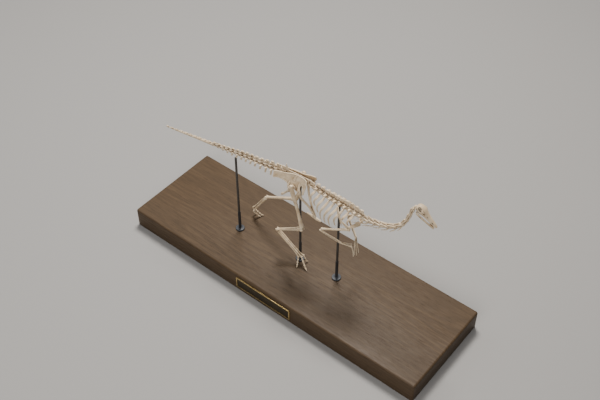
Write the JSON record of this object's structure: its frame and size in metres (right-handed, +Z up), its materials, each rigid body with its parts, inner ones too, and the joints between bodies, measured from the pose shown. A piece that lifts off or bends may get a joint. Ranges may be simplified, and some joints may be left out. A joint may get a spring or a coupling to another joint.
{
  "type": "dinosaur skeleton display model",
  "caption": "Tabletop model of a slender two-legged dinosaur skeleton in a running pose, held on thin rods over a wooden base with a blank name plate.",
  "frame": {"origin": "middle of the wooden base's underside, at the centre of the model's bounding box", "axes": "+X along the base, towards the head; +Y across the base, towards the animal's left; +Z up"},
  "size_m": [0.45, 0.1414, 0.218],
  "materials": {
    "bone": "cast resin, bone coloured, matt with brown tint in the hollows",
    "wood": "walnut-brown hardwood, satin varnish",
    "dark_metal": "darkened steel rods with black sleeves",
    "brass": "satin brass with a brighter rim"
  },
  "bodies": {
    "root": {"base_board": "wood", "name_plate": "brass", "rod_rear": "dark_metal", "rod_middle": "dark_metal", "rod_front": "dark_metal", "skull": "bone", "lower_jaw": "bone", "neck_lower": "bone", "neck_middle": "bone", "neck_upper": "bone", "trunk_left": "bone", "trunk_right": "bone", "sacrum": "bone", "ilium_left": "bone", "ilium_right": "bone", "pubes": "bone", "ischia": "bone", "tail_front": "bone", "tail_middle": "bone", "tail_rear": "bone", "femur_left": "bone", "shin_left": "bone", "metatarsus_left": "bone", "toe_inner_left": "bone", "toe_middle_left": "bone", "toe_outer_left": "bone", "shoulder_blade_left": "bone", "upper_arm_left": "bone", "forearm_left": "bone", "palm_left": "bone", "finger_inner_left": "bone", "finger_middle_left": "bone", "finger_outer_left": "bone", "femur_right": "bone", "shin_right": "bone", "metatarsus_right": "bone", "toe_inner_right": "bone", "toe_middle_right": "bone", "toe_outer_right": "bone", "shoulder_blade_right": "bone", "upper_arm_right": "bone", "forearm_right": "bone", "palm_right": "bone", "finger_inner_right": "bone", "finger_middle_right": "bone", "finger_outer_right": "bone"}
  },
  "joints": []
}
